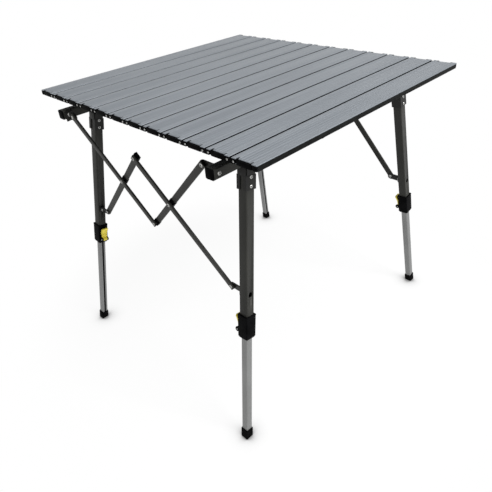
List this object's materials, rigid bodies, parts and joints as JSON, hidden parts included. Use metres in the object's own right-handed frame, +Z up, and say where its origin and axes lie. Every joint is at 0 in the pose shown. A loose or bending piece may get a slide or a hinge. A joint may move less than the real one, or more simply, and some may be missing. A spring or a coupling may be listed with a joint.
{
  "type": "camp kitchen table",
  "caption": "Roll-top folding camp table: hinged metal slats resting on two beams, with coupled scissor arms and splayed telescopic legs held by cam-lever collars.",
  "frame": {"origin": "on the floor, under the middle of the table top", "axes": "+X across the slats, to the right end; +Y along the slats, to the back; +Z up"},
  "size_m": [0.7, 0.7628, 0.674],
  "materials": {
    "slat": "grey-blue anodised, finely ribbed",
    "charcoal": "satin",
    "silver": "satin anodised",
    "black": "matte moulded",
    "rubber": "matte",
    "yellow": "semi-gloss moulded",
    "steel": "satin"
  },
  "bodies": {
    "left_beam": {"beam_left": "charcoal", "beam_cap_left_front": "black", "beam_cap_left_back": "black"},
    "right_beam": {"beam_right": "charcoal", "beam_cap_right_front": "black", "beam_cap_right_back": "black"},
    "leg_left_front": {"leg_bracket_left_front": "steel", "upper_leg_left_front": "charcoal", "lock_collar_left_front": "black"},
    "leg_left_back": {"leg_bracket_left_back": "steel", "upper_leg_left_back": "charcoal", "lock_collar_left_back": "black"},
    "leg_right_front": {"leg_bracket_right_front": "steel", "upper_leg_right_front": "charcoal", "lock_collar_right_front": "black"},
    "leg_right_back": {"leg_bracket_right_back": "steel", "upper_leg_right_back": "charcoal", "lock_collar_right_back": "black"},
    "lower_leg_left_front": {"lower_leg_left_front": "silver", "foot_left_front": "rubber"},
    "lower_leg_left_back": {"lower_leg_left_back": "silver", "foot_left_back": "rubber"},
    "lower_leg_right_front": {"lower_leg_right_front": "silver", "foot_right_front": "rubber"},
    "lower_leg_right_back": {"lower_leg_right_back": "silver", "foot_right_back": "rubber"},
    "lever_left_front": {"lock_lever_left_front": "yellow"},
    "lever_left_back": {"lock_lever_left_back": "yellow"},
    "lever_right_front": {"lock_lever_right_front": "yellow"},
    "lever_right_back": {"lock_lever_right_back": "yellow"},
    "beam_swivel_left_front": {"beam_swivel_left_front": "steel"},
    "beam_swivel_left_back": {"beam_swivel_left_back": "steel"},
    "beam_swivel_right_front": {"beam_swivel_right_front": "steel"},
    "beam_swivel_right_back": {"beam_swivel_right_back": "steel"},
    "leg_swivel_left_front": {"leg_swivel_left_front": "steel"},
    "leg_swivel_left_back": {"leg_swivel_left_back": "steel"},
    "leg_swivel_right_front": {"leg_swivel_right_front": "steel"},
    "leg_swivel_right_back": {"leg_swivel_right_back": "steel"},
    "beam_arm_left_front": {"beam_arm_left_front": "charcoal"},
    "beam_arm_left_back": {"beam_arm_left_back": "charcoal"},
    "beam_arm_right_front": {"beam_arm_right_front": "charcoal"},
    "beam_arm_right_back": {"beam_arm_right_back": "charcoal"},
    "leg_arm_left_front": {"leg_arm_left_front": "charcoal"},
    "leg_arm_left_back": {"leg_arm_left_back": "charcoal"},
    "leg_arm_right_front": {"leg_arm_right_front": "charcoal"},
    "leg_arm_right_back": {"leg_arm_right_back": "charcoal"},
    "slat_01": {"slat_01": "slat"},
    "slat_02": {"slat_02": "slat"},
    "slat_03": {"slat_03": "slat"},
    "slat_04": {"slat_04": "slat"},
    "slat_05": {"slat_05": "slat"},
    "slat_06": {"slat_06": "slat"},
    "slat_07": {"slat_07": "slat"},
    "slat_08": {"slat_08": "slat"},
    "slat_09": {"slat_09": "slat"},
    "slat_10": {"slat_10": "slat"},
    "slat_11": {"slat_11": "slat"},
    "slat_12": {"slat_12": "slat"}
  },
  "joints": [
    {"name": "frame_fold", "type": "slide", "parent": "left_beam", "child": "right_beam", "axis": [-1, 0, 0], "range_m": [0, 0.36]},
    {"name": "leg_swing_left_front", "type": "hinge", "parent": "left_beam", "child": "leg_left_front", "pos_m": [-0.2514, -0.26, 0.616], "axis": [0.9961, 0, -0.0887], "range_deg": [0, 28.1]},
    {"name": "leg_swing_left_back", "type": "hinge", "parent": "left_beam", "child": "leg_left_back", "pos_m": [-0.2514, 0.26, 0.616], "axis": [-0.9961, 0, 0.0887], "range_deg": [0, 28.1]},
    {"name": "leg_swing_right_front", "type": "hinge", "parent": "right_beam", "child": "leg_right_front", "pos_m": [0.2514, -0.26, 0.616], "axis": [0.9961, 0, 0.0887], "range_deg": [0, 28.1]},
    {"name": "leg_swing_right_back", "type": "hinge", "parent": "right_beam", "child": "leg_right_back", "pos_m": [0.2514, 0.26, 0.616], "axis": [-0.9961, 0, -0.0887], "range_deg": [0, 28.1]},
    {"name": "beam_swivel_turn_left_front", "type": "hinge", "parent": "left_beam", "child": "beam_swivel_left_front", "pos_m": [-0.2514, -0.332, 0.636], "axis": [1, 0, 0], "range_deg": [0, 24.1]},
    {"name": "beam_swivel_turn_left_back", "type": "hinge", "parent": "left_beam", "child": "beam_swivel_left_back", "pos_m": [-0.2514, 0.332, 0.636], "axis": [-1, 0, 0], "range_deg": [0, 24.1]},
    {"name": "beam_swivel_turn_right_front", "type": "hinge", "parent": "right_beam", "child": "beam_swivel_right_front", "pos_m": [0.2514, -0.332, 0.636], "axis": [1, 0, 0], "range_deg": [0, 24.1]},
    {"name": "beam_swivel_turn_right_back", "type": "hinge", "parent": "right_beam", "child": "beam_swivel_right_back", "pos_m": [0.2514, 0.332, 0.636], "axis": [-1, 0, 0], "range_deg": [0, 24.1]},
    {"name": "leg_swivel_turn_left_front", "type": "hinge", "parent": "leg_left_front", "child": "leg_swivel_left_front", "pos_m": [-0.27358, -0.30485, 0.36698], "axis": [1, 0, 0], "range_deg": [-4.2, 0]},
    {"name": "leg_swivel_turn_left_back", "type": "hinge", "parent": "leg_left_back", "child": "leg_swivel_left_back", "pos_m": [-0.27358, 0.30485, 0.36698], "axis": [-1, 0, 0], "range_deg": [-4.2, 0]},
    {"name": "leg_swivel_turn_right_front", "type": "hinge", "parent": "leg_right_front", "child": "leg_swivel_right_front", "pos_m": [0.27358, -0.30485, 0.36698], "axis": [1, 0, 0], "range_deg": [-4.2, 0]},
    {"name": "leg_swivel_turn_right_back", "type": "hinge", "parent": "leg_right_back", "child": "leg_swivel_right_back", "pos_m": [0.27358, 0.30485, 0.36698], "axis": [-1, 0, 0], "range_deg": [-4.2, 0]},
    {"name": "beam_arm_turn_left_front", "type": "hinge", "parent": "beam_swivel_left_front", "child": "beam_arm_left_front", "pos_m": [-0.2142, -0.332, 0.636], "axis": [0, 0.9949, 0.1004], "range_deg": [0, 39.2]},
    {"name": "beam_arm_turn_left_back", "type": "hinge", "parent": "beam_swivel_left_back", "child": "beam_arm_left_back", "pos_m": [-0.2142, 0.332, 0.636], "axis": [0, 0.9949, -0.1004], "range_deg": [0, 39.2]},
    {"name": "beam_arm_turn_right_front", "type": "hinge", "parent": "beam_swivel_right_front", "child": "beam_arm_right_front", "pos_m": [0.2142, -0.332, 0.636], "axis": [0, -0.9949, -0.1004], "range_deg": [0, 39.2]},
    {"name": "beam_arm_turn_right_back", "type": "hinge", "parent": "beam_swivel_right_back", "child": "beam_arm_right_back", "pos_m": [0.2142, 0.332, 0.636], "axis": [0, -0.9949, 0.1004], "range_deg": [0, 39.2]},
    {"name": "leg_arm_turn_left_front", "type": "hinge", "parent": "leg_swivel_left_front", "child": "leg_arm_left_front", "pos_m": [-0.23458, -0.30485, 0.36698], "axis": [0, -0.9949, -0.1004], "range_deg": [0, 36.5]},
    {"name": "leg_arm_turn_left_back", "type": "hinge", "parent": "leg_swivel_left_back", "child": "leg_arm_left_back", "pos_m": [-0.23458, 0.30485, 0.36698], "axis": [0, -0.9949, 0.1004], "range_deg": [0, 36.5]},
    {"name": "leg_arm_turn_right_front", "type": "hinge", "parent": "leg_swivel_right_front", "child": "leg_arm_right_front", "pos_m": [0.23458, -0.30485, 0.36698], "axis": [0, 0.9949, 0.1004], "range_deg": [0, 36.5]},
    {"name": "leg_arm_turn_right_back", "type": "hinge", "parent": "leg_swivel_right_back", "child": "leg_arm_right_back", "pos_m": [0.23458, 0.30485, 0.36698], "axis": [0, 0.9949, -0.1004], "range_deg": [0, 36.5]},
    {"name": "leg_slide_left_front", "type": "slide", "parent": "leg_left_front", "child": "lower_leg_left_front", "axis": [0.0873, 0.1766, 0.9804], "range_m": [0, 0.2]},
    {"name": "leg_slide_left_back", "type": "slide", "parent": "leg_left_back", "child": "lower_leg_left_back", "axis": [0.0873, -0.1766, 0.9804], "range_m": [0, 0.2]},
    {"name": "leg_slide_right_front", "type": "slide", "parent": "leg_right_front", "child": "lower_leg_right_front", "axis": [-0.0873, 0.1766, 0.9804], "range_m": [0, 0.2]},
    {"name": "leg_slide_right_back", "type": "slide", "parent": "leg_right_back", "child": "lower_leg_right_back", "axis": [-0.0873, -0.1766, 0.9804], "range_m": [0, 0.2]},
    {"name": "lever_turn_left_front", "type": "hinge", "parent": "leg_left_front", "child": "lever_left_front", "pos_m": [-0.26258, -0.32056, 0.27805], "axis": [-0.0157, 0.9843, -0.1759], "range_deg": [0, 95]},
    {"name": "lever_turn_left_back", "type": "hinge", "parent": "leg_left_back", "child": "lever_left_back", "pos_m": [-0.26258, 0.32056, 0.27805], "axis": [0.0157, 0.9843, 0.1759], "range_deg": [0, 95]},
    {"name": "lever_turn_right_front", "type": "hinge", "parent": "leg_right_front", "child": "lever_right_front", "pos_m": [0.26258, -0.32056, 0.27805], "axis": [-0.0157, -0.9843, 0.1759], "range_deg": [0, 95]},
    {"name": "lever_turn_right_back", "type": "hinge", "parent": "leg_right_back", "child": "lever_right_back", "pos_m": [0.26258, 0.32056, 0.27805], "axis": [0.0157, -0.9843, -0.1759], "range_deg": [0, 95]},
    {"name": "top_lift", "type": "slide", "parent": "left_beam", "child": "slat_06", "axis": [0, 0, 1], "range_m": [0, 0.55]},
    {"name": "slat_roll_05", "type": "hinge", "parent": "slat_06", "child": "slat_05", "pos_m": [-0.0655, 0, 0.6677], "axis": [0, -1, 0], "range_deg": [0, 28.1]},
    {"name": "slat_roll_04", "type": "hinge", "parent": "slat_05", "child": "slat_04", "pos_m": [-0.124, 0, 0.6677], "axis": [0, -1, 0], "range_deg": [0, 28.1]},
    {"name": "slat_roll_03", "type": "hinge", "parent": "slat_04", "child": "slat_03", "pos_m": [-0.1825, 0, 0.6677], "axis": [0, -1, 0], "range_deg": [0, 28.1]},
    {"name": "slat_roll_02", "type": "hinge", "parent": "slat_03", "child": "slat_02", "pos_m": [-0.241, 0, 0.6677], "axis": [0, -1, 0], "range_deg": [0, 28.1]},
    {"name": "slat_roll_01", "type": "hinge", "parent": "slat_02", "child": "slat_01", "pos_m": [-0.2995, 0, 0.6677], "axis": [0, -1, 0], "range_deg": [0, 28.1]},
    {"name": "slat_roll_07", "type": "hinge", "parent": "slat_06", "child": "slat_07", "pos_m": [0.007, 0, 0.6677], "axis": [0, 1, 0], "range_deg": [0, 28.1]},
    {"name": "slat_roll_08", "type": "hinge", "parent": "slat_07", "child": "slat_08", "pos_m": [0.0655, 0, 0.6677], "axis": [0, 1, 0], "range_deg": [0, 28.1]},
    {"name": "slat_roll_09", "type": "hinge", "parent": "slat_08", "child": "slat_09", "pos_m": [0.124, 0, 0.6677], "axis": [0, 1, 0], "range_deg": [0, 28.1]},
    {"name": "slat_roll_10", "type": "hinge", "parent": "slat_09", "child": "slat_10", "pos_m": [0.1825, 0, 0.6677], "axis": [0, 1, 0], "range_deg": [0, 28.1]},
    {"name": "slat_roll_11", "type": "hinge", "parent": "slat_10", "child": "slat_11", "pos_m": [0.241, 0, 0.6677], "axis": [0, 1, 0], "range_deg": [0, 28.1]},
    {"name": "slat_roll_12", "type": "hinge", "parent": "slat_11", "child": "slat_12", "pos_m": [0.2995, 0, 0.6677], "axis": [0, 1, 0], "range_deg": [0, 28.1]}
  ],
  "couplings": [
    {"joint": "leg_swing_left_front", "follows": "frame_fold", "rad_per_m": 1.3575},
    {"joint": "leg_swing_left_back", "follows": "frame_fold", "rad_per_m": 1.3575},
    {"joint": "leg_swing_right_front", "follows": "frame_fold", "rad_per_m": 1.3575},
    {"joint": "leg_swing_right_back", "follows": "frame_fold", "rad_per_m": 1.3575},
    {"joint": "beam_swivel_turn_left_front", "follows": "frame_fold", "rad_per_m": 1.124},
    {"joint": "beam_swivel_turn_left_back", "follows": "frame_fold", "rad_per_m": 1.124},
    {"joint": "beam_swivel_turn_right_front", "follows": "frame_fold", "rad_per_m": 1.124},
    {"joint": "beam_swivel_turn_right_back", "follows": "frame_fold", "rad_per_m": 1.124},
    {"joint": "leg_swivel_turn_left_front", "follows": "frame_fold", "rad_per_m": -0.2023},
    {"joint": "leg_swivel_turn_left_back", "follows": "frame_fold", "rad_per_m": -0.2023},
    {"joint": "leg_swivel_turn_right_front", "follows": "frame_fold", "rad_per_m": -0.2023},
    {"joint": "leg_swivel_turn_right_back", "follows": "frame_fold", "rad_per_m": -0.2023},
    {"joint": "beam_arm_turn_left_front", "follows": "frame_fold", "rad_per_m": 1.8956},
    {"joint": "beam_arm_turn_left_back", "follows": "frame_fold", "rad_per_m": 1.8956},
    {"joint": "beam_arm_turn_right_front", "follows": "frame_fold", "rad_per_m": 1.8956},
    {"joint": "beam_arm_turn_right_back", "follows": "frame_fold", "rad_per_m": 1.8956},
    {"joint": "leg_arm_turn_left_front", "follows": "frame_fold", "rad_per_m": 1.7647},
    {"joint": "leg_arm_turn_left_back", "follows": "frame_fold", "rad_per_m": 1.7647},
    {"joint": "leg_arm_turn_right_front", "follows": "frame_fold", "rad_per_m": 1.7647},
    {"joint": "leg_arm_turn_right_back", "follows": "frame_fold", "rad_per_m": 1.7647},
    {"joint": "slat_roll_01", "follows": "top_lift", "rad_per_m": 0.8885},
    {"joint": "slat_roll_02", "follows": "top_lift", "rad_per_m": 0.8885},
    {"joint": "slat_roll_03", "follows": "top_lift", "rad_per_m": 0.8885},
    {"joint": "slat_roll_04", "follows": "top_lift", "rad_per_m": 0.8885},
    {"joint": "slat_roll_05", "follows": "top_lift", "rad_per_m": 0.8885},
    {"joint": "slat_roll_07", "follows": "top_lift", "rad_per_m": 0.8885},
    {"joint": "slat_roll_08", "follows": "top_lift", "rad_per_m": 0.8885},
    {"joint": "slat_roll_09", "follows": "top_lift", "rad_per_m": 0.8885},
    {"joint": "slat_roll_10", "follows": "top_lift", "rad_per_m": 0.8885},
    {"joint": "slat_roll_11", "follows": "top_lift", "rad_per_m": 0.8885},
    {"joint": "slat_roll_12", "follows": "top_lift", "rad_per_m": 0.8885}
  ]
}
